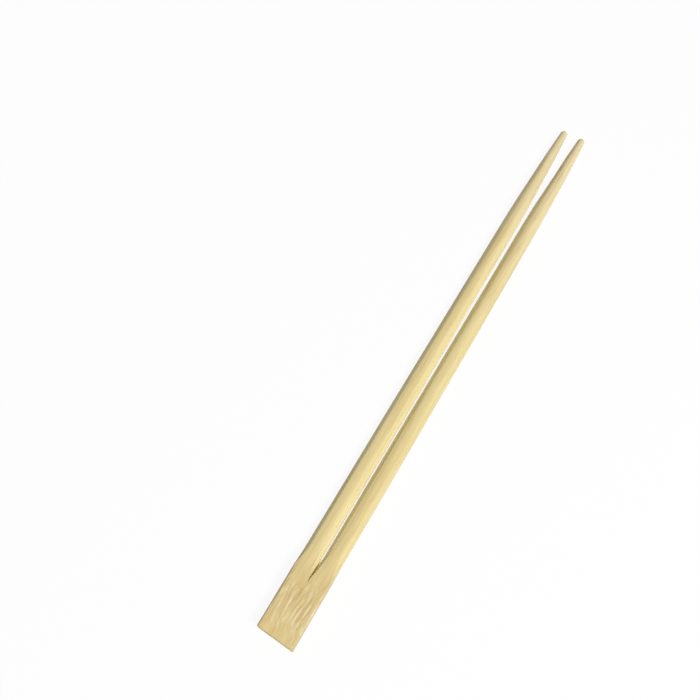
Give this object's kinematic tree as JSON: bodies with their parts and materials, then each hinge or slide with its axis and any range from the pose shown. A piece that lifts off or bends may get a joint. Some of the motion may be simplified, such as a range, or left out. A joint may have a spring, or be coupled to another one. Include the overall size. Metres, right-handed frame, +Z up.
{
  "type": "bamboo chopsticks",
  "caption": "Bamboo chopsticks milled side by side from a flat strip, still joined at a square head and tapering to rounded tips, for snapping apart to pick up food.",
  "frame": {"origin": "centre of the overall box, on the surface that the pair lies on", "axes": "+Y along the sticks, from the head to the tips; +X across the pair; +Z up, out of the upper planed face"},
  "size_m": [0.0126, 0.203, 0.0048],
  "materials": {
    "bamboo": "planed, bare, satin along the grain"
  },
  "bodies": {
    "root": {"chopstick_pair": "bamboo"}
  },
  "joints": []
}
